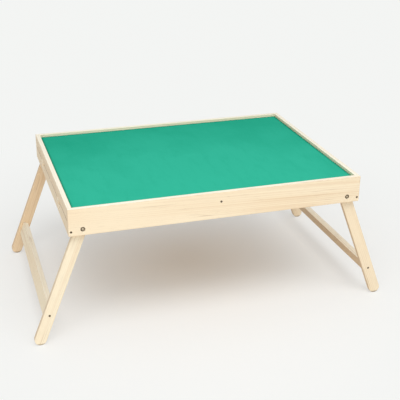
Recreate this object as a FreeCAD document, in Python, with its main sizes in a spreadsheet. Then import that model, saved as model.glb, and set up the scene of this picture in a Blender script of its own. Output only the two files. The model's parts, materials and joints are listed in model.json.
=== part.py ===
import FreeCAD, Part
import Sketcher
import math
import os
import re
from FreeCAD import Placement, Rotation, Vector

# A jigsaw puzzle table: a felt-topped tray on two folding leg frames, with drawers in both ends.
# Millimetres. X runs along the table, Y across it and Z up; the origin is on the floor under its middle.

SIZES = {
    # The box and its boards
    "table_length": 765,
    "table_depth": 570,
    "box_height": 70,
    "total_height": 365,
    "board": 12,
    "edge_round": 0.8,
    # The recessed top
    "felt_recess": 7,
    "felt_thickness": 1,
    "felt_play": 0.3,
    "panel_thickness": 4,
    "groove_depth": 5,
    "panel_play": 0.3,
    # The ends, with a half round cut under each drawer for the fingers
    "upper_rail_height": 15,
    "lower_rail_height": 35,
    "notch_width": 46,
    "notch_depth": 23,
    # The boards between the drawers
    "divider_board": 12,
    "divider_height": 26,
    # The drawers
    "drawer_gap": 0.8,
    "drawer_gap_below": 2.2,
    "drawer_wall": 8,
    "drawer_floor": 3,
    "drawer_lip": 2.5,
    "drawer_side_drop": 1,
    "drawer_rear_gap": 2,
    "floor_tongue": 4,
    "runner_depth": 4,
    "runner_play": 0.3,
    # The leg frames
    "pivot_inset": 34.6,
    "pivot_rise": 16,
    "leg_width": 30,
    "leg_thickness": 13,
    "stop_gap": 0.14,
    "foot_flat": 0.4,
    "stretcher_reach": 248,
    "stretcher_width": 36,
    "stretcher_thickness": 15,
    # The pivot bolts, sunk in the rails, with their washers and nuts
    "bolt_diameter": 5,
    "bolt_head_diameter": 8.4,
    "bolt_head_height": 2.4,
    "bolt_head_round": 2,
    "bolt_seat_diameter": 12,
    "bolt_seat_depth": 3,
    "bolt_past_nut": 1,
    "bolt_hole_play": 0.2,
    "pivot_play": 0.06,
    "pivot_end_play": 0.1,
    "washer_diameter": 10,
    "washer_thickness": 1,
    "nut_width": 8,
    "nut_hex_height": 4,
    "nut_collar_diameter": 7,
    "nut_collar_height": 1.2,
    "thread_play": 0.05,
    # The wood screws
    "screw_diameter": 3,
    "screw_length": 30,
    "screw_head_diameter": 5.8,
    "screw_head_height": 1.8,
    "screw_tip_length": 2.6,
    "screw_tip_diameter": 0.7,
    "screw_play": 0.05,
    "cross_length": 3.2,
    "cross_width": 0.7,
    "cross_depth": 1.1,
    "corner_screw_rise": 11.5,
    # How far a cut runs past the face it starts from
    "overrun": 1,
}

DERIVED = {
    "half_length": "table_length / 2",
    "half_depth": "table_depth / 2",
    "inner_x": "half_length - board",
    "inner_y": "half_depth - board",
    "box_bottom": "total_height - box_height",
    "felt_top_z": "total_height - felt_recess",
    "panel_top_z": "felt_top_z - felt_thickness",
    "panel_bottom_z": "panel_top_z - panel_thickness",
    "lower_rail_top": "box_bottom + lower_rail_height",
    "upper_rail_bottom": "total_height - upper_rail_height",
    "notch_radius": "(notch_width ^ 2 / 4 + notch_depth ^ 2) / (2 * notch_depth)",
    "divider_half": "divider_board / 2",
    "divider_bottom_z": "panel_bottom_z - divider_height",
    "divider_screw_z": "panel_bottom_z - divider_height / 2",
    "lap_z": "(lower_rail_top + panel_bottom_z) / 2",
    "front_bottom_z": "lower_rail_top + drawer_gap_below",
    "front_top_z": "upper_rail_bottom - drawer_gap",
    "front_inner_y": "divider_half + drawer_gap",
    "front_outer_y": "inner_y - drawer_gap",
    "drawer_middle_y": "(front_inner_y + front_outer_y) / 2",
    "drawer_rear_x": "divider_half + drawer_rear_gap",
    "floor_bottom_z": "front_bottom_z + drawer_lip",
    "floor_top_z": "floor_bottom_z + drawer_floor",
    "side_top_z": "front_top_z - drawer_side_drop",
    "runner_bottom_z": "floor_bottom_z - runner_play",
    "runner_top_z": "floor_top_z + runner_play",
    "pivot_x": "half_length - pivot_inset",
    "pivot_z": "box_bottom + pivot_rise",
    # The leg leans until its edge meets the lower inside corner of the end rail.
    "stop_run": "pivot_inset - board",
    "stop_reach": "sqrt(stop_run ^ 2 + pivot_rise ^ 2)",
    "lean": "acos((leg_width / 2 + stop_gap) / stop_reach) - atan(pivot_rise / stop_run)",
    "leg_reach": "(pivot_z - leg_width / 2 + foot_flat) / cos(lean)",
    "foot_x": "pivot_x + leg_reach * sin(lean)",
    "leg_outer_y": "inner_y - washer_thickness - pivot_end_play",
    "leg_inner_y": "leg_outer_y - leg_thickness",
    "nut_washer_start": "board + washer_thickness + leg_thickness + 2 * pivot_end_play",
    "nut_start": "nut_washer_start + washer_thickness",
    "bolt_end": "nut_start + nut_hex_height + nut_collar_height + bolt_past_nut",
    "bolt_length": "bolt_end - bolt_seat_depth",
    "corner_screw_x": "half_length - board / 2",
    "corner_screw_z": "box_bottom + corner_screw_rise",
}

NAMES = set(SIZES) | set(DERIVED)
LEFT, RIGHT = -1, 1
FRONT, BACK = -1, 1
SIDE_NAMES = {LEFT: "left", RIGHT: "right"}
ROW_NAMES = {FRONT: "front", BACK: "back"}

# Rotations that turn a piece's own Z along X, or towards the table's middle from the front or back face
QUARTER_TURN = 90
ALONG_X = Rotation(Vector(0, 1, 0), QUARTER_TURN)
INTO_TABLE = {row: Rotation(Vector(row, 0, 0), QUARTER_TURN) for row in (FRONT, BACK)}
HEXAGON_SIDES = 6

doc = FreeCAD.newDocument("puzzle_table")
sheet = doc.addObject("Spreadsheet::Sheet", "Sizes")
nodes = []


def fill_sheet():
    """Writes the driving sizes as plain numbers and the worked-out ones as formulas."""
    for row, (name, value) in enumerate(SIZES.items(), start=1):
        sheet.set(f"A{row}", name)
        sheet.set(f"B{row}", str(value))
        sheet.setAlias(f"B{row}", name)
    for row, (name, text) in enumerate(DERIVED.items(), start=len(SIZES) + 1):
        sheet.set(f"A{row}", name)
        sheet.setAlias(f"B{row}", name)
        sheet.set(f"B{row}", "=" + text)
    doc.recompute()


def formula(text):
    """Points the plain size names in a formula at their cells."""
    return re.sub(r"[a-z_]+", lambda word: "Sizes." * (word[0] in NAMES) + word[0], text)


def bind(piece, field, text):
    piece.setExpression(field, formula(text))


def move(piece, x, y, z):
    for axis, text in zip("xyz", (x, y, z)):
        bind(piece, "Placement.Base." + axis, text)


def mirrored(side, low, high):
    """The same stretch on either side of the table's middle, as a low and a high end."""
    return (low, high) if side > 0 else (f"-({high})", f"-({low})")


def signed(side, text):
    return text if side > 0 else f"-({text})"


def new_body(label, origin, turn=Rotation()):
    body = doc.addObject("PartDesign::Body", label)
    body.Label = label
    body.Placement = Placement(Vector(), turn)
    move(body, *origin)
    return body


def block(body, kind, x, y, z, origin=("0", "0", "0")):
    """A box between three low and high ends, which origin moves into the body's own frame."""
    feature = body.newObject("PartDesign::" + kind, body.Name + "_block")
    for field, (low, high) in zip(("Length", "Width", "Height"), (x, y, z)):
        bind(feature, field, f"({high}) - ({low})")
    move(feature, *(f"({low}) - ({start})" for (low, high), start in zip((x, y, z), origin)))
    return feature


def rod(body, kind, radius, length, place, turn=Rotation()):
    feature = body.newObject("PartDesign::" + kind, body.Name + "_rod")
    feature.Placement = Placement(Vector(), turn)
    bind(feature, "Radius", radius)
    bind(feature, "Height", length)
    move(feature, *place)
    return feature


def cone(body, kind, start_radius, end_radius, length, place, turn=Rotation()):
    feature = body.newObject("PartDesign::" + kind, body.Name + "_cone")
    feature.Placement = Placement(Vector(), turn)
    bind(feature, "Radius1", start_radius)
    bind(feature, "Radius2", end_radius)
    bind(feature, "Height", length)
    move(feature, *place)
    return feature


def round_edges(body, base, radius, wanted=None):
    """Rounds all edges of a feature, or those that the wanted test picks."""
    feature = body.newObject("PartDesign::Fillet", body.Name + "_round")
    doc.recompute()
    edges = enumerate(base.Shape.Edges, start=1)
    feature.Base = (base, [f"Edge{i}" for i, edge in edges if wanted is None or wanted(edge)])
    bind(feature, "Radius", radius)
    return feature


def plank(label, x, y, z, eased=True):
    """A board between three low and high ends, placed by its low corner and with eased edges."""
    origin = (x[0], y[0], z[0])
    body = new_body(label, origin)
    base = block(body, "AdditiveBox", x, y, z, origin)
    if eased:
        round_edges(body, base, "edge_round")
    nodes.append(body)
    return body, origin


def group(label, pieces):
    """Like pieces under one name, each still a solid of its own."""
    compound = doc.addObject("Part::Compound", label)
    compound.Label = label
    compound.Links = pieces
    nodes.append(compound)


def screw_hole(body, place, row):
    """A countersunk hole from a front or back face towards the table's middle."""
    pilot_hole(body, place, row)
    cone(body, "SubtractiveCone", "screw_head_diameter / 2 + screw_play", "screw_diameter / 2 + screw_play",
         "screw_head_height", place, INTO_TABLE[row])


def pilot_hole(body, place, row):
    """A hole for a whole screw that starts from a given point of a front or back face."""
    rod(body, "SubtractiveCylinder", "screw_diameter / 2 + screw_play", "screw_length + overrun",
        place, INTO_TABLE[row])


def screw(label, origin, row):
    """A countersunk wood screw with a cross recess, its head flush with the face at its origin."""
    body = new_body(label, origin, INTO_TABLE[row])
    cone(body, "AdditiveCone", "screw_head_diameter / 2", "screw_diameter / 2", "screw_head_height",
         ("0", "0", "0"))
    rod(body, "AdditiveCylinder", "screw_diameter / 2", "screw_length - screw_tip_length", ("0", "0", "0"))
    cone(body, "AdditiveCone", "screw_diameter / 2", "screw_tip_diameter / 2", "screw_tip_length",
         ("0", "0", "screw_length - screw_tip_length"))
    long_way = ("-cross_length / 2", "cross_length / 2")
    short_way = ("-cross_width / 2", "cross_width / 2")
    depth = ("-overrun", "cross_depth")
    block(body, "SubtractiveBox", long_way, short_way, depth)
    block(body, "SubtractiveBox", short_way, long_way, depth)
    return body


def long_rails():
    whole_length = ("-half_length", "half_length")
    past_ends = ("-half_length - overrun", "half_length + overrun")
    for row in (FRONT, BACK):
        y = mirrored(row, "inner_y", "half_depth")
        rail, origin = plank(ROW_NAMES[row] + "_rail", whole_length, y, ("box_bottom", "total_height"))
        panel_groove = mirrored(row, "inner_y - overrun", "inner_y + groove_depth")
        block(rail, "SubtractiveBox", past_ends, panel_groove, ("panel_bottom_z", "panel_top_z"), origin)
        runner = mirrored(row, "inner_y - overrun", "inner_y + runner_depth")
        block(rail, "SubtractiveBox", past_ends, runner, ("runner_bottom_z", "runner_top_z"), origin)
        outer_y = f"({signed(row, 'half_depth')}) - ({origin[1]})"
        for side in (LEFT, RIGHT):
            bolt_place = (f"({signed(side, 'pivot_x')}) - ({origin[0]})", outer_y, "pivot_rise")
            rod(rail, "SubtractiveCylinder", "bolt_diameter / 2 + bolt_hole_play", "board",
                bolt_place, INTO_TABLE[row])
            rod(rail, "SubtractiveCylinder", "bolt_seat_diameter / 2", "bolt_seat_depth",
                bolt_place, INTO_TABLE[row])
            screw_x = f"({signed(side, 'corner_screw_x')}) - ({origin[0]})"
            screw_hole(rail, (screw_x, outer_y, "corner_screw_rise"), row)
        screw_hole(rail, (f"-({origin[0]})", outer_y, "divider_screw_z - box_bottom"), row)


def end_rails():
    between_rails = ("-inner_y", "inner_y")
    into_rails = ("-inner_y - groove_depth + panel_play", "inner_y + groove_depth - panel_play")
    past_rails = ("-half_depth", "half_depth")
    panel_z = ("panel_bottom_z", "panel_top_z")
    for side in (LEFT, RIGHT):
        x = mirrored(side, "inner_x", "half_length")
        upper, origin = plank(SIDE_NAMES[side] + "_upper_end_rail", x, between_rails,
                              ("upper_rail_bottom", "total_height"))
        block(upper, "AdditiveBox", mirrored(side, "inner_x + edge_round", "half_length - edge_round"),
              into_rails, panel_z, origin)
        groove = mirrored(side, "inner_x - overrun", "inner_x + groove_depth")
        block(upper, "SubtractiveBox", groove, past_rails, panel_z, origin)
        lower, origin = plank(SIDE_NAMES[side] + "_lower_end_rail", x, between_rails,
                              ("box_bottom", "lower_rail_top"))
        for row in (FRONT, BACK):
            notch_y = f"({signed(row, 'drawer_middle_y')}) - ({origin[1]})"
            rod(lower, "SubtractiveCylinder", "notch_radius", "board + 2 * overrun",
                ("-overrun", notch_y, "lower_rail_height - notch_depth + notch_radius"), ALONG_X)
            outer_y = f"({signed(row, 'half_depth')}) - ({origin[1]})"
            pilot_hole(lower, ("board / 2", outer_y, "corner_screw_rise"), row)


def top():
    plank("top_panel", ("-inner_x - groove_depth + panel_play", "inner_x + groove_depth - panel_play"),
          ("-inner_y - groove_depth + panel_play", "inner_y + groove_depth - panel_play"),
          ("panel_bottom_z", "panel_top_z"), eased=False)
    plank("felt_top", ("-inner_x + felt_play", "inner_x - felt_play"),
          ("-inner_y + felt_play", "inner_y - felt_play"), ("panel_top_z", "felt_top_z"), eased=False)


def dividers():
    """Two boards halved over each other, which part the drawers and carry the panel's middle."""
    across = ("-divider_half", "divider_half")
    cross, origin = plank("centre_divider", across, ("-inner_y", "inner_y"),
                          ("divider_bottom_z", "panel_bottom_z"), eased=False)
    past_faces = ("-divider_half - overrun", "divider_half + overrun")
    block(cross, "SubtractiveBox", past_faces, across, ("lap_z", "panel_bottom_z + overrun"), origin)
    for row in (FRONT, BACK):
        outer_y = f"({signed(row, 'half_depth')}) - ({origin[1]})"
        pilot_hole(cross, ("divider_half", outer_y, "divider_height / 2"), row)
    along, origin = plank("drawer_divider", ("-half_length", "half_length"), across,
                          ("lower_rail_top", "panel_bottom_z"), eased=False)
    block(along, "SubtractiveBox", across, past_faces, ("lower_rail_top - overrun", "lap_z"), origin)
    past_ends = ("-half_length - overrun", "half_length + overrun")
    for side in (LEFT, RIGHT):
        under_rim = mirrored(side, "inner_x", "half_length + overrun")
        block(along, "SubtractiveBox", under_rim, past_faces,
              ("upper_rail_bottom", "panel_bottom_z + overrun"), origin)
        runner = mirrored(side, "divider_half - runner_depth", "divider_half + overrun")
        block(along, "SubtractiveBox", past_ends, runner, ("runner_bottom_z", "runner_top_z"), origin)


def box_screws():
    corner = []
    middle = []
    for row in (FRONT, BACK):
        face_y = signed(row, "half_depth")
        middle.append(screw(f"{ROW_NAMES[row]}_divider_screw", ("0", face_y, "divider_screw_z"), row))
        for side in (LEFT, RIGHT):
            place = (signed(side, "corner_screw_x"), face_y, "corner_screw_z")
            corner.append(screw(f"{SIDE_NAMES[side]}_{ROW_NAMES[row]}_corner_screw", place, row))
    group("corner_screws", corner)
    group("divider_screws", middle)


def ring(label, origin, turn, start, radius, length, hole):
    body = new_body(label, origin, turn)
    rod(body, "AdditiveCylinder", radius, length, ("0", "0", start))
    rod(body, "SubtractiveCylinder", hole, f"{length} + 2 * overrun", ("0", "0", f"{start} - overrun"))
    return body


def pivot_bolt(label, origin, turn):
    """A bolt with a smooth domed head, whose flat side seats at the body's origin."""
    body = new_body(label, origin, turn)
    head = rod(body, "AdditiveCylinder", "bolt_head_diameter / 2", "bolt_head_height",
               ("0", "0", "-bolt_head_height"))
    round_edges(body, head, "bolt_head_round", is_outer_circle)
    rod(body, "AdditiveCylinder", "bolt_diameter / 2", "bolt_length", ("0", "0", "0"))
    return body


def is_outer_circle(edge):
    """Whether an edge is the circle round a bolt head's outer face, which lies below its own origin."""
    return len(edge.Vertexes) == 1 and edge.CenterOfMass.z < 0


def lock_nut(label, origin, turn):
    body = new_body(label, origin, turn)
    hexagon = body.newObject("PartDesign::AdditivePrism", body.Name + "_hexagon")
    hexagon.Polygon = HEXAGON_SIDES
    bind(hexagon, "Circumradius", "nut_width / sqrt(3)")
    bind(hexagon, "Height", "nut_hex_height")
    move(hexagon, "0", "0", "nut_start")
    rod(body, "AdditiveCylinder", "nut_collar_diameter / 2", "nut_hex_height + nut_collar_height",
        ("0", "0", "nut_start"))
    rod(body, "SubtractiveCylinder", "bolt_diameter / 2 + thread_play",
        "nut_hex_height + nut_collar_height + 2 * overrun", ("0", "0", "nut_start - overrun"))
    return body


def leg_pivots():
    hole = "bolt_diameter / 2 + bolt_hole_play"
    found = {"pivot_bolts": [], "rail_washers": [], "nut_washers": [], "lock_nuts": []}
    for row in (FRONT, BACK):
        for side in (LEFT, RIGHT):
            corner = f"{SIDE_NAMES[side]}_{ROW_NAMES[row]}"
            origin = (signed(side, "pivot_x"), signed(row, "half_depth"), "pivot_z")
            seat = (origin[0], signed(row, "half_depth - bolt_seat_depth"), origin[2])
            turn = INTO_TABLE[row]
            found["pivot_bolts"].append(pivot_bolt(corner + "_pivot_bolt", seat, turn))
            found["rail_washers"].append(ring(corner + "_rail_washer", origin, turn, "board",
                                              "washer_diameter / 2", "washer_thickness", hole))
            found["nut_washers"].append(ring(corner + "_nut_washer", origin, turn, "nut_washer_start",
                                             "washer_diameter / 2", "washer_thickness", hole))
            found["lock_nuts"].append(lock_nut(corner + "_lock_nut", origin, turn))
    for label, pieces in found.items():
        group(label, pieces)


def frame_body(label, side):
    """A body in its leg frame: the pivot line is its Y axis and the legs run down its own Z axis."""
    body = new_body(label, (signed(side, "pivot_x"), "0", "pivot_z"), Rotation(Vector(0, -side, 0), 1))
    bind(body, "Placement.Rotation.Angle", "lean")
    return body


def plane_of(body, role):
    return next(feature for feature in body.Origin.OriginFeatures if feature.Role == role)


def leg_outline(body, row):
    """A slat's outline, round at the pivot and at the foot, drawn on its face nearer the back."""
    sketch = body.newObject("Sketcher::SketchObject", body.Name + "_outline")
    sketch.AttachmentSupport = (plane_of(body, "XZ_Plane"), [""])
    sketch.MapMode = "FlatFace"
    bind(sketch, "AttachmentOffset.Base.z", "leg_inner_y" if row == FRONT else "-leg_outer_y")
    radius = sheet.get("leg_width") / 2
    reach = sheet.get("leg_reach")
    foot = Vector(0, -reach, 0)
    across = Vector(radius, 0, 0)
    normal = Vector(0, 0, 1)
    sketch.addGeometry(Part.ArcOfCircle(Part.Circle(Vector(), normal, radius), 0, math.pi))
    sketch.addGeometry(Part.LineSegment(-across, foot - across))
    sketch.addGeometry(Part.ArcOfCircle(Part.Circle(foot, normal, radius), math.pi, 2 * math.pi))
    sketch.addGeometry(Part.LineSegment(foot + across, across))
    pivot_arc, inner_line, foot_arc, outer_line = range(sketch.GeometryCount)
    start, end, centre = 1, 2, 3
    root, root_point, upright = -1, 1, -2
    sketch.addConstraint([
        Sketcher.Constraint("Tangent", pivot_arc, end, inner_line, start),
        Sketcher.Constraint("Tangent", inner_line, end, foot_arc, start),
        Sketcher.Constraint("Tangent", foot_arc, end, outer_line, start),
        Sketcher.Constraint("Tangent", outer_line, end, pivot_arc, start),
        Sketcher.Constraint("Coincident", pivot_arc, centre, root, root_point),
        Sketcher.Constraint("PointOnObject", foot_arc, centre, upright),
        Sketcher.Constraint("Equal", pivot_arc, foot_arc)])
    round_end = Sketcher.Constraint("Radius", pivot_arc, radius)
    drop = Sketcher.Constraint("DistanceY", foot_arc, centre, root, root_point, reach)
    sketch.renameConstraint(sketch.addConstraint(round_end), "end_radius")
    sketch.renameConstraint(sketch.addConstraint(drop), "reach")
    bind(sketch, "Constraints.end_radius", "leg_width / 2")
    bind(sketch, "Constraints.reach", "leg_reach")
    return sketch


def is_face_outline(edge):
    """Whether an edge lies in one of a leg's two broad faces, rather than running between them."""
    box = edge.BoundBox
    return box.YLength < box.DiagonalLength / 2


def leg(side, row, floor):
    label = f"{SIDE_NAMES[side]}_{ROW_NAMES[row]}_leg"
    body = frame_body(label + "_slat", side)
    pad = body.newObject("PartDesign::Pad", label + "_pad")
    pad.Profile = leg_outline(body, row)
    bind(pad, "Length", "leg_thickness")
    round_edges(body, pad, "edge_round", is_face_outline)
    face_y = signed(row, "leg_outer_y")
    rod(body, "SubtractiveCylinder", "bolt_diameter / 2 + pivot_play", "leg_thickness + 2 * overrun",
        ("0", signed(row, "leg_outer_y + overrun"), "0"), INTO_TABLE[row])
    screw_hole(body, ("0", face_y, "-stretcher_reach"), row)
    cut = doc.addObject("Part::Cut", label)
    cut.Label = label
    cut.Base = body
    cut.Tool = floor
    nodes.append(cut)


def leg_frames():
    """Each frame is two legs screwed to a stretcher; the feet are cut flat where they meet the floor."""
    floor = doc.addObject("Part::Box", "floor")
    bind(floor, "Length", "2 * (foot_x + leg_width)")
    bind(floor, "Width", "table_depth")
    bind(floor, "Height", "leg_width")
    move(floor, "-foot_x - leg_width", "-half_depth", "-leg_width")
    for side in (LEFT, RIGHT):
        screws = []
        stretcher = frame_body(SIDE_NAMES[side] + "_stretcher", side)
        base = block(stretcher, "AdditiveBox", ("-stretcher_thickness / 2", "stretcher_thickness / 2"),
                     ("-leg_inner_y", "leg_inner_y"),
                     ("-stretcher_reach - stretcher_width / 2", "-stretcher_reach + stretcher_width / 2"))
        round_edges(stretcher, base, "edge_round")
        nodes.append(stretcher)
        for row in (FRONT, BACK):
            leg(side, row, floor)
            pilot_hole(stretcher, ("0", signed(row, "leg_outer_y"), "-stretcher_reach"), row)
            screws.append(frame_screw(side, row))
        group(SIDE_NAMES[side] + "_stretcher_screws", screws)


def frame_screw(side, row):
    """A stretcher screw, whose place follows the frame's lean."""
    along_x = signed(side, "pivot_x + stretcher_reach * sin(lean)")
    up = "pivot_z - stretcher_reach * cos(lean)"
    label = f"{SIDE_NAMES[side]}_{ROW_NAMES[row]}_stretcher_screw"
    return screw(label, (along_x, signed(row, "leg_outer_y"), up), row)


def drawer(side, row):
    """A tray whose floor sticks out at both sides as the tongues that run in the grooves."""
    label = f"{SIDE_NAMES[side]}_{ROW_NAMES[row]}_drawer_"
    front, origin = plank(label + "front", mirrored(side, "inner_x", "half_length"),
                          mirrored(row, "front_inner_y", "front_outer_y"),
                          ("front_bottom_z", "front_top_z"))
    floor_z = ("floor_bottom_z", "floor_top_z")
    block(front, "SubtractiveBox", mirrored(side, "inner_x - overrun", "inner_x + floor_tongue"),
          mirrored(row, "front_inner_y - overrun", "front_outer_y + overrun"), floor_z, origin)
    tongue = "runner_depth - runner_play"
    plank(label + "bottom", mirrored(side, "drawer_rear_x", "inner_x + floor_tongue"),
          mirrored(row, f"divider_half - ({tongue})", f"inner_y + {tongue}"), floor_z, eased=False)
    wall_z = ("floor_top_z", "side_top_z")
    side_x = mirrored(side, "drawer_rear_x", "inner_x")
    outer_wall = mirrored(row, "front_outer_y - drawer_wall", "front_outer_y")
    inner_wall = mirrored(row, "front_inner_y", "front_inner_y + drawer_wall")
    plank(label + "outer_side", side_x, outer_wall, wall_z)
    plank(label + "inner_side", side_x, inner_wall, wall_z)
    plank(label + "back", mirrored(side, "drawer_rear_x", "drawer_rear_x + drawer_wall"),
          mirrored(row, "front_inner_y + drawer_wall", "front_outer_y - drawer_wall"), wall_z)


def check_document():
    """Stops the build if any object failed or any sub-part has no sound solid."""
    doc.recompute()
    for piece in doc.Objects:
        if "Invalid" in piece.State or "Error" in piece.State:
            raise RuntimeError(f"{piece.Label} failed: {piece.State}")
    for node in nodes:
        shape = node.Shape
        if shape.isNull() or not shape.isValid() or not shape.Solids:
            raise RuntimeError(f"{node.Label} has no sound shape")


def write_parts():
    os.makedirs("parts", exist_ok=True)
    for node in nodes:
        node.Shape.exportStep(os.path.join("parts", node.Label + ".step"))
        print(f"{node.Label}: {len(node.Shape.Solids)} solids, {node.Shape.Volume:.0f} mm3")


fill_sheet()
long_rails()
end_rails()
top()
dividers()
box_screws()
leg_pivots()
leg_frames()
for drawer_side in (LEFT, RIGHT):
    for drawer_row in (FRONT, BACK):
        drawer(drawer_side, drawer_row)
check_document()
write_parts()
print("foot spread", 2 * sheet.get("foot_x") + sheet.get("leg_width"), "lean", sheet.get("lean"))
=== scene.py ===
"""A low pine puzzle table with a felt top: its finishes, its felt, and the studio round it."""
import json
import math

import bmesh
import bpy
from mathutils import Matrix, Vector, noise

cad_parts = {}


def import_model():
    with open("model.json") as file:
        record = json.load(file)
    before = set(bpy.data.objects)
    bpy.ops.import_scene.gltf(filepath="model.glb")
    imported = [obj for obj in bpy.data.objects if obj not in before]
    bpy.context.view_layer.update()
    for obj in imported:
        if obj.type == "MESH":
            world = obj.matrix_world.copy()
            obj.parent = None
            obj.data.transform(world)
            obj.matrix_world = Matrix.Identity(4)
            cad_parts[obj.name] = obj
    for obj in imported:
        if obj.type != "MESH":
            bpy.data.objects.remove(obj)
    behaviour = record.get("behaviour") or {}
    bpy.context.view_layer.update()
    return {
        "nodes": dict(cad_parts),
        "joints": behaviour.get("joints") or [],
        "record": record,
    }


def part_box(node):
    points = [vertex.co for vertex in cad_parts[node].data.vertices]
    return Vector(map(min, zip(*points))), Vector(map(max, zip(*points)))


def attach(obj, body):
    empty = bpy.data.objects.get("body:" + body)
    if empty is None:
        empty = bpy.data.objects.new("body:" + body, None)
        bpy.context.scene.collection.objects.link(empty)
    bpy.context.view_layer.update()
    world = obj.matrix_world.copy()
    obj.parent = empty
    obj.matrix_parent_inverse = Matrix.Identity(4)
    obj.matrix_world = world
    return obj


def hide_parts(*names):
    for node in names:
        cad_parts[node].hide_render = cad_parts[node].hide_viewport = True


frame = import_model()

# Lengths are in metres and colours are linear. X runs along the table, Y across it and Z up.
X_AXIS, Y_AXIS, Z_AXIS = Vector((1, 0, 0)), Vector((0, 1, 0)), Vector((0, 0, 1))
LEG_LEAN = math.radians(21.558)

# The Mix node's sockets for colours
MIX_FIRST, MIX_SECOND, MIX_RESULT = 6, 7, 2


class Shade:
    """A shader socket that takes part in sums; one with no socket only makes nodes."""

    def __init__(self, tree, socket=None):
        self.tree = tree
        self.socket = socket

    def node(self, kind, settings=None, inputs=None, output=0):
        """Adds a node, sets its settings first and its sockets next, and gives one of its outputs."""
        made = self.tree.nodes.new("ShaderNode" + kind)
        for field, value in (settings or {}).items():
            setattr(made, field, value)
        for key, value in (inputs or {}).items():
            if isinstance(value, Shade):
                self.tree.links.new(value.socket, made.inputs[key])
            else:
                made.inputs[key].default_value = value
        return Shade(self.tree, made.outputs[output] if len(made.outputs) else None)

    def maths(self, operation, *others):
        """A sum that starts with this value."""
        return self.node("Math", {"operation": operation}, dict(enumerate((self, *others))))

    def reflected(self, operation, first):
        """A sum that ends with this value."""
        return self.node("Math", {"operation": operation}, {0: first, 1: self})

    def __add__(self, other):
        return self.maths("ADD", other)

    def __sub__(self, other):
        return self.maths("SUBTRACT", other)

    def __rsub__(self, other):
        return self.reflected("SUBTRACT", other)

    def __mul__(self, other):
        return self.maths("MULTIPLY", other)

    def __truediv__(self, other):
        return self.maths("DIVIDE", other)

    def __pow__(self, other):
        return self.maths("POWER", other)

    def __abs__(self):
        return self.maths("ABSOLUTE")


def new_finish(name):
    """An empty material, and a start for its nodes."""
    material = bpy.data.materials.new(name)
    material.use_nodes = True
    material.node_tree.nodes.clear()
    return material, Shade(material.node_tree)


def along_axis(place, axis):
    """How far a place lies along an axis."""
    return place.node("VectorMath", {"operation": "DOT_PRODUCT"}, {0: place, 1: axis}, "Value")


def joined(x, y, z):
    """A place from its three distances."""
    return x.node("CombineXYZ", inputs={"X": x, "Y": y, "Z": z})


def diagonal(first, second):
    """How far off a place lies, from how far it lies two ways."""
    return (first * first + second * second) ** 0.5


def cloudy(place, scale=1.0, detail=2.0, roughness=0.5, distortion=0.0):
    """Soft noise from 0 to 1 about 0.5."""
    return place.node("TexNoise", inputs={"Vector": place, "Scale": scale, "Detail": detail,
                                          "Roughness": roughness, "Distortion": distortion})


def eased(value, low, high):
    """0 below low and 1 above high, with a smooth step between."""
    return value.node("MapRange", {"interpolation_type": "SMOOTHSTEP"},
                      {"Value": value, "From Min": low, "From Max": high})


def ranged(mask, least, more):
    """The least share where a mask is 0, and so much more where it is 1."""
    return mask * more + least


def tinted(factor, first, second):
    """One colour, with another over it by a factor."""
    return factor.node("Mix", {"data_type": "RGBA"},
                       {"Factor": factor, MIX_FIRST: first, MIX_SECOND: second}, MIX_RESULT)


def middle_of(first, second, third):
    """The one of three values that lies between the others."""
    low = first.maths("MINIMUM", second)
    high = first.maths("MAXIMUM", second)
    return low.maths("MAXIMUM", high.maths("MINIMUM", third))


def colour(red, green, blue):
    """A colour with nothing showing through it."""
    return (red, green, blue, 1.0)


def surfaced(material, start, inputs):
    """Closes a finish with its surface shader."""
    shader = start.node("BsdfPrincipled", inputs=inputs)
    start.node("OutputMaterial", inputs={"Surface": shader})
    return material


def bumped(height, strength, distance):
    """Small relief from a height that runs from 0 to 1."""
    return height.node("Bump", inputs={"Strength": strength, "Distance": distance, "Height": height})


def placed(name, data):
    """A new object in the scene."""
    made = bpy.data.objects.new(name, data)
    bpy.context.scene.collection.objects.link(made)
    return made


# Wood
# Both tone sets: the pale top tone is painted light, the darkest is painted shade with grime at the feet,
# the worn one wear and painted shade
PINE = {
    "early": colour(0.935, 0.835, 0.632),
    "late": colour(0.730, 0.515, 0.300),
    "dash": colour(0.420, 0.250, 0.120),
    "rosy": colour(0.868, 0.676, 0.452),
    "wear_painted_light_and_shade": colour(0.660, 0.470, 0.280),
    "painted_light": colour(0.972, 0.940, 0.805),
    "shade_and_grime": colour(0.230, 0.170, 0.110)}
PLY = {
    "early": colour(0.800, 0.650, 0.450),
    "late": colour(0.640, 0.460, 0.270),
    "dash": colour(0.360, 0.220, 0.120),
    "rosy": colour(0.740, 0.540, 0.360),
    "wear_painted_light_and_shade": colour(0.520, 0.360, 0.210),
    "painted_light": colour(0.840, 0.720, 0.540),
    "shade_and_grime": colour(0.230, 0.170, 0.110)}

# A growth ring's width, how far off sideways and in depth the pith lies, and how many layers plywood has
PINE_GROWTH = {"ring_gap": 0.0042, "pith": (0.055, 0.045)}
PLY_GROWTH = {"ring_gap": 0.0030, "pith": (0.02, 0.03), "plies": 3}

# How far a board's tone leans to rosy: by its number, or by a share of its own where it stands out;
# the shares of the left end's boards, the far left leg and the right stretcher are raised as painted shade
ROSY_LEAST, ROSY_RANGE, GOLDEN = 0.25, 0.4, 0.618
ROSY_CLOUDS, ROSY_BELOW = 0.34, 0.05
ROSY_AND_SHADE_SHARES = {
    "left_front_leg": 0.02, "right_front_leg": 0.26, "left_back_leg": 1.00,
    "front_rail": 0.38, "back_rail": 0.10,
    "left_upper_end_rail": 0.40, "right_upper_end_rail": 0.10, "left_lower_end_rail": 0.48,
    "left_stretcher": 0.18, "right_stretcher": 0.75,
    "left_front_drawer_front": 0.54, "left_back_drawer_front": 0.54}

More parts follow.
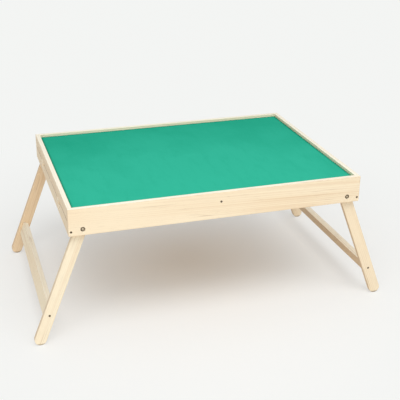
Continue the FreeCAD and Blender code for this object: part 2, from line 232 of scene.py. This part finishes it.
# The patterns in the grain: how fine each is along the grain and across it, in turns to the metre, in which
# of the three ways it is moved from board to board, its noise, and between which noise values it fades in
PATTERNS = {
    "sway": {"fine": (2.2, 8), "moved": (True, False, True)},
    "vary": {"fine": (1.3, 30), "moved": (False, True, False), "fade": (0.35, 0.7)},
    "fibre": {"fine": (11, 800), "moved": (True, False, False),
              "noise": {"detail": 3.0, "roughness": 0.6}},
    "streak": {"fine": (1.8, 120), "moved": (False, True, False), "fade": (0.46, 0.76)},
    "dash": {"fine": (9, 260), "moved": (False, False, True),
             "noise": {"detail": 1.0}, "fade": (0.645, 0.765)},
    "fleck": {"fine": (90, 900), "moved": (False, True, False),
              "noise": {"detail": 1.0}, "fade": (0.64, 0.74)},
    "tone": {"fine": (2.4, 7), "moved": (True, False, False),
             "noise": {"detail": 1.0}, "fade": (0.35, 0.75)},
    "lively": {"fine": (1.7, 5), "moved": (True, False, True), "noise": {"detail": 1.0}}}
NOISE_MIDDLE = 0.5

# What a board's number is multiplied by to move its patterns, set its drift and pick its pith's side
SHIFT_STEP, DRIFT_STEP, PITH_STEP = 1.37, 1.7, 2.4

# How far the grain drifts across a board for each metre along it
DRIFT_MOST = 0.012
GRAIN_DRIFTS = {"front_rail": 0.033}

# Towards which end of a board the figure is livelier, and how strongly
LIVELY_ENDS = {"front_rail": 1.0}
LIVELY_PULL = 0.25
LIVELY_FADE = (0.38, 0.62)

# How far the rings sway sideways and in depth, how late a ring darkens, and where its dark part ends
SWAY_SIDEWAYS, SWAY_DEEP = 0.014, 0.010
RING_POWER = 2.2
RING_END = (0.86, 1.0)

# How strongly the patterns tint: a share, or a least share and what another pattern adds to it
RING_BY_VARY, RING_BY_LIVELY = (0.12, 0.30), (0.7, 0.8)
STREAK_BY_LIVELY, DASH_BY_LIVELY = (0.16, 0.26), (0.26, 0.22)
FLECK_SHARE, FIBRE_SHARE = 0.14, 0.10
FIBRE_FADE = (0.5, 0.85)

# How squarely a face has to look up, down, along the grain or sideways to count as a top, an underside,
# an end, a narrow side or a cut ply edge, and how strongly it is tinted for it: tops are lightened as
# painted light, undersides and the legs' narrow sides darkened as painted shade, and the lower end rails'
# ends and notch walls lightened as painted light
TOP_FACING, TOP_PAINTED_LIGHT = (0.5, 0.95), 0.85
UNDER_FACING, UNDER_PAINTED_SHADE, STRETCHER_UNDER_PAINTED_SHADE = (0.05, 0.45), 0.50, 0.80
END_FACING, END_DARKENED, NOTCH_PAINTED_LIGHT = (0.75, 0.97), 0.2, 0.8
NARROW_FACING, NARROW_PAINTED_SHADE = (0.2, 0.6), 0.30
PLY_FACING, PLY_FADE, PLY_DARKENED = (0.3, 0.8), (0.0003, 0.0005), 0.6

# Painted shade on the legs just under the box, on the lower end rails' tops in the gap under the drawers
# and in the seats of bolt heads; real wear on edges; painted contact shade with grime at the feet
LEG_SHADE_BELOW, LEG_SHADE_ABOVE, LEG_PAINTED_SHADE = 0.014, 0.0005, 0.45
GAP_SHADE_FADE, GAP_PAINTED_SHADE = (0.0006, 0.0002), 0.8
SEAT_RADIUS, SEAT_FADE, SEAT_PAINTED_SHADE = 0.0061, (0.0001, 0.0004), 0.75
EDGE_FADE, EDGE_BY_GRIME, EDGE_RUBBED = (0.0002, 0.0026), (0.35, 0.65), 0.30
FOOT_FADE, FOOT_BY_GRIME = (0.0005, 0.006), (0.65, 0.35)
GRIME = {"scale": 60.0, "detail": 3.0, "roughness": 0.6}
GRIME_FADE = (0.35, 0.65)

# The surface: relief of the patterns, and what makes it rougher or smoother
FIBRE_RELIEF, RING_RELIEF, DASH_RELIEF = 0.55, 0.45, 0.3
WOOD_ROUGHNESS, FIBRE_ROUGHER, RING_ROUGHER, RUBBED_SMOOTHER = 0.50, 0.14, 0.06, 0.10
WOOD_BUMP = {"strength": 0.25, "distance": 0.0004}

# The legs' pivots, which lie alike at both ends
PIVOT_X, PIVOT_Z = next((joint["pos_m"][0], joint["pos_m"][2]) for joint in frame["joints"]
                        if joint["name"] == "right_leg_fold")


def from_pivot(place):
    """How far a place lies from the nearer pivot's axis."""
    return diagonal(abs(along_axis(place, X_AXIS)) - PIVOT_X, along_axis(place, Z_AXIS) - PIVOT_Z)


def pivot_seat(place, depth):
    """1 inside the hole that a bolt head sits in, where the wood is darkened as painted shade."""
    inside = from_pivot(place).maths("LESS_THAN", SEAT_RADIUS)
    return inside * eased(depth, *SEAT_FADE)


def span(node, axis):
    """A board's middle and half length along an axis."""
    reaches = [corner.co.dot(axis) for corner in frame["nodes"][node].data.vertices]
    return (max(reaches) + min(reaches)) / 2, (max(reaches) - min(reaches)) / 2


class Board:
    """A board as its finish knows it: a place's ways from its middle and gaps to its faces."""

    def __init__(self, start, node, along, through):
        self.node = node
        self.along = along
        self.through = through
        self.place = start.node("TexCoord", output="Object")
        self.normal = start.node("TexCoord", output="Normal")
        self.height = along_axis(self.place, Z_AXIS)
        self.ways, self.gaps, self.halves = [], [], []
        for axis in (along, along.cross(through), through):
            middle, half = span(node, axis)
            way = along_axis(self.place, axis) - middle
            self.ways.append(way)
            self.gaps.append(half - abs(way))
            self.halves.append(half)

    def facing(self, axis):
        """How squarely a face looks along an axis, either way."""
        return abs(along_axis(self.normal, axis))


def pattern(name, ways, shift):
    """One of the patterns in the grain, from 0 to 1."""
    kind = PATTERNS[name]
    along, across = kind["fine"]
    scaled = [way * fine for way, fine in zip(ways, (along, across, across))]
    place = joined(*(way + shift if moved else way for way, moved in zip(scaled, kind["moved"])))
    drawn = cloudy(place, **kind.get("noise", {}))
    return eased(drawn, *kind["fade"]) if "fade" in kind else drawn


def grain(board, seed, ring_gap, pith):
    """A board's patterns by name, with growth rings round a pith off to one side."""
    along, level, through = board.ways
    across = level + along * GRAIN_DRIFTS.get(board.node, DRIFT_MOST * math.cos(seed * DRIFT_STEP))
    shift = seed * SHIFT_STEP
    figure = {name: pattern(name, (along, across, through), shift) for name in PATTERNS}
    pull = along * (LIVELY_PULL * LIVELY_ENDS.get(board.node, 0.0) / board.halves[0])
    figure["lively"] = eased(figure["lively"] + pull, *LIVELY_FADE)
    sway = figure["sway"] - NOISE_MIDDLE
    pith_side, pith_depth = pith
    side = across + math.copysign(pith_side, math.sin(seed * PITH_STEP)) + sway * SWAY_SIDEWAYS
    deep = through + pith_depth + sway * SWAY_DEEP
    turn = (diagonal(side, deep) / ring_gap + shift).maths("FRACT")
    figure["ring"] = turn ** RING_POWER * (1 - eased(turn, *RING_END))
    return figure


def coats(board, figure, wear_painted_light_and_shade, grime, plies):
    """What lies over a board's ground tone, in order: how much of it shows, and which tone it is."""
    node, lively = board.node, figure["lively"]
    upward = along_axis(board.normal, Z_AXIS)
    # Tops: painted light
    topside = eased(upward, *TOP_FACING)
    yield topside * TOP_PAINTED_LIGHT, "painted_light"
    rings = figure["ring"] * ranged(figure["vary"], *RING_BY_VARY) * ranged(lively, *RING_BY_LIVELY)
    yield rings + figure["streak"] * ranged(lively, *STREAK_BY_LIVELY), "late"
    dashes = figure["dash"] * ranged(lively, *DASH_BY_LIVELY) + figure["fleck"] * FLECK_SHARE
    yield dashes + eased(figure["fibre"], *FIBRE_FADE) * FIBRE_SHARE, "dash"
    # Undersides: painted shade, stronger on the stretchers' inner faces
    underside = eased(0 - upward, *UNDER_FACING)
    if node.endswith("_stretcher"):
        yield underside * STRETCHER_UNDER_PAINTED_SHADE, "wear_painted_light_and_shade"
    else:
        yield underside * UNDER_PAINTED_SHADE, "late"
    if node.endswith("_leg"):
        box_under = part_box("front_rail")[0].z
        by_box = eased(board.height, box_under - LEG_SHADE_BELOW, box_under + LEG_SHADE_ABOVE)
        # The legs' narrow sides: painted shade
        yield (1 - eased(board.facing(board.through), *NARROW_FACING)) * NARROW_PAINTED_SHADE, "dash"
        # The legs just under the box: painted shade
        yield by_box * LEG_PAINTED_SHADE, "wear_painted_light_and_shade"
    end_grain = eased(board.facing(board.along), *END_FACING)
    if node.endswith("lower_end_rail"):
        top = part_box(node)[1].z
        # The lower end rails' tops in the gap under the drawers: painted shade
        gap_shade = topside * eased(board.height, *(top - depth for depth in GAP_SHADE_FADE))
        # Their ends and notch walls: painted light
        yield end_grain * NOTCH_PAINTED_LIGHT, "painted_light"
        yield gap_shade * GAP_PAINTED_SHADE, "shade_and_grime"
    else:
        yield end_grain * END_DARKENED, "late"
    if plies:
        layer = eased(board.ways[-1].maths("PINGPONG", board.halves[-1] / plies), *PLY_FADE)
        cut_face = 1 - eased(board.facing(board.through), *PLY_FACING)
        yield cut_face * layer * PLY_DARKENED, "wear_painted_light_and_shade"
    if node in ("front_rail", "back_rail"):
        # The seats of the bolt heads: painted shade
        yield pivot_seat(board.place, board.gaps[-1]) * SEAT_PAINTED_SHADE, "shade_and_grime"
    yield wear_painted_light_and_shade * EDGE_RUBBED, "wear_painted_light_and_shade"
    # The feet's lowest millimetres: painted contact shade, broken up by grime
    yield (1 - eased(board.height, *FOOT_FADE)) * ranged(grime, *FOOT_BY_GRIME), "shade_and_grime"


def wood(name, node, along, through, seed, tones, ring_gap, pith, plies=0):
    """A board's wood: its grain along one axis, painted light and shade by which way a face looks, painted
    shade in gaps and seats, and worn edges.
    """
    material, start = new_finish(name)
    board = Board(start, node, along, through)
    figure = grain(board, seed, ring_gap, pith)
    grime = eased(cloudy(board.place, **GRIME), *GRIME_FADE)
    wear_painted_light_and_shade = (1 - eased(middle_of(*board.gaps), *EDGE_FADE)) * ranged(grime, *EDGE_BY_GRIME)
    rosy_share = ROSY_AND_SHADE_SHARES.get(node, ROSY_LEAST + ROSY_RANGE * (seed * GOLDEN % 1))
    rosy = figure["tone"] * ROSY_CLOUDS + (rosy_share - ROSY_BELOW)
    mixed = tinted(rosy, tones["early"], tones["rosy"])
    for share, tone in coats(board, figure, wear_painted_light_and_shade, grime, plies):
        mixed = tinted(share, mixed, tones[tone])
    fibre, ring = figure["fibre"], figure["ring"]
    relief = fibre * FIBRE_RELIEF + ring * RING_RELIEF - figure["dash"] * DASH_RELIEF
    roughness = fibre * FIBRE_ROUGHER + WOOD_ROUGHNESS + ring * RING_ROUGHER - wear_painted_light_and_shade * RUBBED_SMOOTHER
    return surfaced(material, start, {
        "Base Color": mixed,
        "Roughness": roughness,
        "Specular IOR Level": 0.32,
        "Normal": bumped(relief, **WOOD_BUMP)})


def pine(node, along, through, seed):
    return wood("pine_" + node, node, along, through, seed, PINE, **PINE_GROWTH)


def plywood(node, along, through, seed):
    return wood("plywood_" + node, node, along, through, seed, PLY, **PLY_GROWTH)


# Metal

# Bolts, washers and nuts, with their fine turning in radians to the metre out from the axis
BOLT_DULL = colour(0.60, 0.49, 0.34)
BOLT_BRIGHT = colour(0.74, 0.63, 0.47)
# Dirt on the smudges, and painted shade on the heads' rims
BOLT_DIRT_AND_SHADE = colour(0.11, 0.075, 0.038)
BOLT_TURNING = 9000
BOLT_HAZE = {"scale": 420.0, "detail": 3.0, "roughness": 0.6}
# The head's rim and all further out from the axis darken as painted shade, which leaves its centre bright
BOLT_EDGE, BOLT_EDGE_SHARE = (0.0018, 0.0038), 0.70
SMUDGE_SCALE, SMUDGE_FADE, SMUDGE_SHARE = 160.0, (0.4, 0.7), 0.25
BOLT_ROUGHNESS, SMUDGE_ROUGHER, TURNING_ROUGHER = 0.30, 0.16, 0.05
BOLT_BUMP = {"strength": 0.15, "distance": 0.0001}

# Screws, with a rubbed bloom and dark patches
SCREW_BROWN = colour(0.095, 0.057, 0.024)
SCREW_BLOOMED = colour(0.210, 0.140, 0.072)
SCREW_DARK = colour(0.045, 0.026, 0.011)
BLOOM = {"scale": 700.0, "detail": 3.0, "roughness": 0.6}
BLOOM_FADE = (0.4, 0.75)
PATCH_SCALE, PATCH_FADE, PATCH_SHARE = 260.0, (0.4, 0.65), 0.4
SCREW_ROUGHNESS, BLOOM_ROUGHER = 0.44, 0.2
SCREW_BUMP = {"strength": 0.2, "distance": 0.0001}


def pivot_steel():
    """Yellowed plated steel, turned in fine rings round each pivot, smudged with dirt, and darkened away
    from its axis as painted shade.
    """
    material, start = new_finish("pivot_steel")
    place = start.node("TexCoord", output="Object")
    radius = from_pivot(place)
    turned = ((radius * BOLT_TURNING).maths("SINE") + 1) / 2
    haze = cloudy(place, **BOLT_HAZE)
    smudge = eased(cloudy(place, SMUDGE_SCALE), *SMUDGE_FADE)
    edge = eased(radius, *BOLT_EDGE)
    mixed = tinted(haze, BOLT_DULL, BOLT_BRIGHT)
    mixed = tinted(smudge * SMUDGE_SHARE + edge * BOLT_EDGE_SHARE, mixed, BOLT_DIRT_AND_SHADE)
    return surfaced(material, start, {
        "Base Color": mixed,
        "Metallic": 1.0,
        "Roughness": smudge * SMUDGE_ROUGHER + BOLT_ROUGHNESS + turned * TURNING_ROUGHER,
        "Normal": bumped((turned + haze) / 2, **BOLT_BUMP)})


def screw_steel():
    """Browned steel with a paler rubbed bloom and dark patches."""
    material, start = new_finish("screw_steel")
    place = start.node("TexCoord", output="Object")
    bloom = eased(cloudy(place, **BLOOM), *BLOOM_FADE)
    patch = eased(cloudy(place, PATCH_SCALE), *PATCH_FADE)
    mixed = tinted(bloom, SCREW_BROWN, SCREW_BLOOMED)
    mixed = tinted(patch * PATCH_SHARE, mixed, SCREW_DARK)
    return surfaced(material, start, {
        "Base Color": mixed,
        "Metallic": 0.3,
        "Roughness": ranged(bloom, SCREW_ROUGHNESS, BLOOM_ROUGHER),
        "Normal": bumped(bloom, **SCREW_BUMP)})


# Felt
FELT_DEEP = colour(0.009, 0.345, 0.212)
FELT_CLEAR = colour(0.030, 0.455, 0.302)
FELT_NAPPED = colour(0.050, 0.550, 0.380)
FELT_SHADED = colour(0.014, 0.300, 0.190)
# Painted shade along the felt's edge by the rim
FELT_EDGE_SHADE = colour(0.010, 0.170, 0.100)
FELT_SHEEN = colour(0.10, 0.85, 0.68)

# Painted light: where a pool of light on the felt is centred, how far it reaches each way, and how the felt
# darkens away from it
LIGHT_POOL_AT = (-0.03, -0.20)
LIGHT_POOL_REACH = (0.60, 0.41)
LIGHT_POOL_FADE = (0.35, 1.2)
LIGHT_POOL_CLEAR, LIGHT_POOL_FALLOFF = 0.85, 0.60

# The felt's patterns, where each fades in and its share of the tint or of the relief
CLOUDS = {"scale": 6.0, "detail": 3.0, "roughness": 0.55}
CLOUD_FADE, CLOUD_SHARE = (0.3, 0.7), 0.35
BRUSHED_X, BRUSHED_Y = 34, 9
BRUSHED = {"detail": 3.0, "roughness": 0.6}
BRUSHED_FADE, BRUSHED_SHARE = (0.45, 0.8), 0.25
MATTED = {"scale": 420.0, "detail": 4.0, "roughness": 0.65, "distortion": 1.8}
MATTED_FADE, MATTED_SHARE, MATTED_RELIEF = (0.45, 0.8), 0.30, 0.6
STRANDS = {"scale": 1100.0, "detail": 2.0, "roughness": 0.6, "distortion": 2.5}
STRAND_FADE, STRAND_SHARE, STRAND_RELIEF = (0.55, 0.8), 0.25, 0.4
# The felt's edge darkened as painted shade
MARGIN_FADE, MARGIN_BY_CLOUDS = (0.002, 0.0085), (0.30, 0.8)
FELT_BUMP = {"strength": 0.35, "distance": 0.0006}

# The sheet's mesh: its step, the roll at its cut edges, its unevenness and its lift off the panel
FELT_STEP = 0.005
FELT_ROLL = 0.0005
FELT_WAVE = 0.00016
FELT_LIFT = 0.00002

# The waves in the unevenness: how fine each is, at which level of the noise it is taken, and its share
FELT_WAVES = ((23, 0.7, 0.6), (71, 3.1, 0.4))


def felt():
    """Pressed wool: matted fibre, faint clouds, a soft sheen, painted shade along its edge, and a painted
    pool of light.
    """
    material, start = new_finish("green_felt")
    place = start.node("TexCoord", output="Object")
    x = along_axis(place, X_AXIS)
    y = along_axis(place, Y_AXIS)
    clouds = cloudy(place, **CLOUDS)
    brushed = cloudy(joined(x * BRUSHED_X, y * BRUSHED_Y, 0.0), **BRUSHED)
    matted = cloudy(place, **MATTED)
    strands = cloudy(place, **STRANDS)
    from_light_pool = diagonal((x - LIGHT_POOL_AT[0]) / LIGHT_POOL_REACH[0], (y - LIGHT_POOL_AT[1]) / LIGHT_POOL_REACH[1])
    # A painted pool of light, paler at the front middle and darker towards the back and sides
    wear_painted_light_and_shade = LIGHT_POOL_CLEAR - eased(from_light_pool, *LIGHT_POOL_FADE) * LIGHT_POOL_FALLOFF
    mixed = tinted(wear_painted_light_and_shade + eased(clouds, *CLOUD_FADE) * CLOUD_SHARE, FELT_DEEP, FELT_CLEAR)
    mixed = tinted(eased(brushed, *BRUSHED_FADE) * BRUSHED_SHARE, mixed, FELT_DEEP)
    mixed = tinted(eased(matted, *MATTED_FADE) * MATTED_SHARE, mixed, FELT_NAPPED)
    mixed = tinted(eased(strands, *STRAND_FADE) * STRAND_SHARE, mixed, FELT_SHADED)
    low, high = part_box("felt_top")
    half_x, half_y = (high - low).xy / 2
    edge_gap = (half_x - abs(x)).maths("MINIMUM", half_y - abs(y))
    margin = (1 - eased(edge_gap, *MARGIN_FADE)) * ranged(clouds, *MARGIN_BY_CLOUDS)
    # Painted shade along the felt's edge
    mixed = tinted(margin, mixed, FELT_EDGE_SHADE)
    return surfaced(material, start, {
        "Base Color": mixed,
        "Roughness": 0.92,
        "Specular IOR Level": 0.06,
        "Sheen Weight": 0.05,
        "Sheen Roughness": 0.5,
        "Sheen Tint": FELT_SHEEN,
        "Normal": bumped(matted * MATTED_RELIEF + strands * STRAND_RELIEF, **FELT_BUMP)})


def steps(low, high, step):
    """Even places between two ends, with one more a roll's width inside each end."""
    count = round((high - low) / step)
    middle = [low + (high - low) * i / count for i in range(1, count)]
    return [low, low + FELT_ROLL, *middle, high - FELT_ROLL, high]


def unevenness(x, y):
    """How high or low the felt lies at a place, from about -1 to 1."""
    return sum(noise.noise(Vector((x * fine, y * fine, level))) * share
               for fine, level, share in FELT_WAVES)


def felt_sheet():
    """The felt as a thin closed sheet, faintly uneven on top, with its cut edges softly rolled."""
    low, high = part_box("felt_top")
    xs = steps(low.x, high.x, FELT_STEP)
    ys = steps(low.y, high.y, FELT_STEP)
    last_i, last_j = len(xs) - 1, len(ys) - 1
    shape = bmesh.new()
    top, bottom = [], []
    for i, x in enumerate(xs):
        top.append([])
        bottom.append([])
        for j, y in enumerate(ys):
            at_edge = i in (0, last_i) or j in (0, last_j)
            drop = FELT_ROLL if at_edge else FELT_WAVE * (1 + unevenness(x, y)) / 2
            top[i].append(shape.verts.new((x, y, high.z - drop)))
            bottom[i].append(shape.verts.new((x, y, low.z + FELT_LIFT)))
    for i in range(last_i):
        for j in range(last_j):
            shape.faces.new((top[i][j], top[i + 1][j], top[i + 1][j + 1], top[i][j + 1]))
            shape.faces.new((bottom[i][j], bottom[i][j + 1], bottom[i + 1][j + 1], bottom[i + 1][j]))
    rim = [(i, 0) for i in range(last_i)] + [(last_i, j) for j in range(last_j)]
    rim += [(i, last_j) for i in range(last_i, 0, -1)] + [(0, j) for j in range(last_j, 0, -1)]
    for (i, j), (k, m) in zip(rim, rim[1:] + rim[:1]):
        shape.faces.new((top[i][j], bottom[i][j], bottom[k][m], top[k][m]))
    for face in shape.faces:
        face.smooth = True
    mesh = bpy.data.meshes.new("felt_sheet")
    shape.to_mesh(mesh)
    shape.free()
    mesh.materials.append(felt())
    sheet = placed("felt_sheet", mesh)
    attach(sheet, "table_box")
    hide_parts("felt_top")


# Dressing
def board_axes(node):
    """Which way a board's grain and its thickness run."""
    if node in ("front_rail", "back_rail", "drawer_divider") or node.endswith("_side"):
        return X_AXIS, Y_AXIS
    if node == "top_panel" or node.endswith("drawer_bottom"):
        return X_AXIS, Z_AXIS
    side = -1 if node.startswith("left") else 1
    down = Vector((side * math.sin(LEG_LEAN), 0, -math.cos(LEG_LEAN)))
    if node.endswith("_leg"):
        return down, Y_AXIS
    if node.endswith("_stretcher"):
        return Y_AXIS, Y_AXIS.cross(down)
    return Y_AXIS, X_AXIS


def dress(node, material):
    """Gives a piece its finish."""
    for place in frame["nodes"][node].material_slots:
        place.material = material


def dress_all():
    """Gives every metal piece its metal and every board a wood of its own."""
    metals = {"pivot_steel": pivot_steel(), "screw_steel": screw_steel()}
    woods = {"pine": pine, "plywood": plywood}
    subparts = sorted(frame["record"]["subparts"], key=lambda part: part["node"])
    for seed, part in enumerate(subparts, start=1):
        node, kind = part["node"], part["material_slot"]
        if kind in metals:
            dress(node, metals[kind])
        elif kind in woods:
            dress(node, woods[kind](node, *board_axes(node), seed))


# Studio
FLOOR_REACH = 30.0
FLOOR_TONE = colour(0.922, 0.917, 0.900)
BACKDROP = colour(0.900, 0.910, 0.895)

# Round which point the floor fades into the backdrop, and between which distances from it; the fade begins
# under the table, so the backdrop's glow is painted over the table's shadow and lightens it
FADE_AROUND = Vector((0.02, 0.09, 0.0))
FLOOR_FADE = (-0.14, 1.18)

# Lights
WHITE = (1.0, 1.0, 1.0)
AMBIENT = 0.55
CEILING_LIGHT = {"towards": (0.05, 0.64, -1.0), "strength": 0.50, "spread": math.radians(30)}
OVERHEAD_SOFTBOX = {"at": (-0.05, -1.00, 1.95), "aim": (0.0, -0.10, 0.30),
                    "power": 18.0, "width": 2.4, "height": 0.9}
FRONT_SOFTBOX = {"at": (-0.70, -2.35, 0.60), "aim": (0.0, 0.0, 0.15),
                 "power": 6.4, "width": 1.3, "height": 1.3}


def seen_rays(start):
    """1 for what the camera sees, straight or by way of gloss or glass."""
    camera_ray, glossy_ray, clear_ray = (start.node("LightPath", output=name) for name in
                                         ("Is Camera Ray", "Is Glossy Ray", "Is Transmission Ray"))
    return (camera_ray + glossy_ray + clear_ray).maths("MINIMUM", 1.0)


def floor():
    """A pale sweep that takes the table's shadow, lightened by painted light where the fade begins, and
    fades into the backdrop away from it.
    """
    mesh = bpy.data.meshes.new("studio_floor")
    corners = [(x * FLOOR_REACH, y * FLOOR_REACH, 0) for x, y in ((-1, -1), (1, -1), (1, 1), (-1, 1))]
    mesh.from_pydata(corners, [], [(0, 1, 2, 3)])
    ground = placed("studio_floor", mesh)
    material, start = new_finish("studio_floor")
    mesh.materials.append(material)
    place = start.node("TexCoord", output="Object")
    away = place.node("VectorMath", {"operation": "DISTANCE"}, {0: place, 1: FADE_AROUND}, "Value")
    fade = eased(away, *FLOOR_FADE) * seen_rays(start)
    lit = start.node("BsdfDiffuse", inputs={"Color": FLOOR_TONE})
    faded = start.node("Emission", inputs={"Color": BACKDROP})
    both = start.node("MixShader", inputs={0: fade, 1: lit, 2: faded})
    start.node("OutputMaterial", inputs={"Surface": both})


def world():
    """Even soft light all round, with a pale backdrop for what looks past the floor."""
    sky = bpy.data.worlds.new("studio")
    bpy.context.scene.world = sky
    sky.use_nodes = True
    sky.node_tree.nodes.clear()
    start = Shade(sky.node_tree)
    soft = start.node("Background", inputs={"Color": colour(*WHITE), "Strength": AMBIENT})
    backdrop = start.node("Background", inputs={"Color": BACKDROP, "Strength": 1.0})
    both = start.node("MixShader", inputs={0: seen_rays(start), 1: soft, 2: backdrop})
    start.node("OutputWorld", inputs={"Surface": both})


def lamp(name, kind, energy, direction):
    """A white lamp that shines along a direction."""
    light = bpy.data.lights.new(name, kind)
    light.energy = energy
    light.color = WHITE
    holder = placed(name, light)
    holder.rotation_mode = "QUATERNION"
    holder.rotation_quaternion = direction.to_track_quat("-Z", "Y")
    return holder


def sun(name, towards, strength, spread):
    """A broad even lamp that lights the whole scene alike."""
    holder = lamp(name, "SUN", strength, Vector(towards))
    holder.data.angle = spread


def softbox(name, at, aim, power, width, height):
    """A broad lamp near the table, which lights the near pieces more than the far ones."""
    holder = lamp(name, "AREA", power, Vector(aim) - Vector(at))
    holder.location = at
    holder.data.shape = "RECTANGLE"
    holder.data.size = width
    holder.data.size_y = height


# The photograph's viewpoint
CAMERA_AT = Vector((-0.63155, -2.06834, 1.16287))
CAMERA_AZIMUTH = math.radians(-17.886)
CAMERA_ELEVATION = math.radians(23.422)
CAMERA_ROLL = math.radians(0.580)
FOCAL_PIXELS, PICTURE_WIDTH, SENSOR_WIDTH = 830.98, 400, 36.0


def camera():
    """The camera, turned by its azimuth, its elevation and its roll."""
    lens = bpy.data.cameras.new("photo_camera")
    lens.sensor_width = SENSOR_WIDTH
    lens.lens = FOCAL_PIXELS / PICTURE_WIDTH * SENSOR_WIDTH
    level = math.cos(CAMERA_ELEVATION)
    back = Vector((math.sin(CAMERA_AZIMUTH) * level, -math.cos(CAMERA_AZIMUTH) * level,
                   math.sin(CAMERA_ELEVATION)))
    right = Z_AXIS.cross(back).normalized()
    up = back.cross(right)
    right, up = (right * math.cos(CAMERA_ROLL) + up * math.sin(CAMERA_ROLL),
                 up * math.cos(CAMERA_ROLL) - right * math.sin(CAMERA_ROLL))
    holder = placed("photo_camera", lens)
    holder.matrix_world = Matrix.Translation(CAMERA_AT) @ Matrix((right, up, back)).transposed().to_4x4()
    bpy.context.scene.camera = holder


bpy.context.scene.view_settings.view_transform = "Standard"
camera()
dress_all()
felt_sheet()
floor()
world()
sun("ceiling_light", **CEILING_LIGHT)
softbox("overhead_softbox", **OVERHEAD_SOFTBOX)
softbox("front_softbox", **FRONT_SOFTBOX)
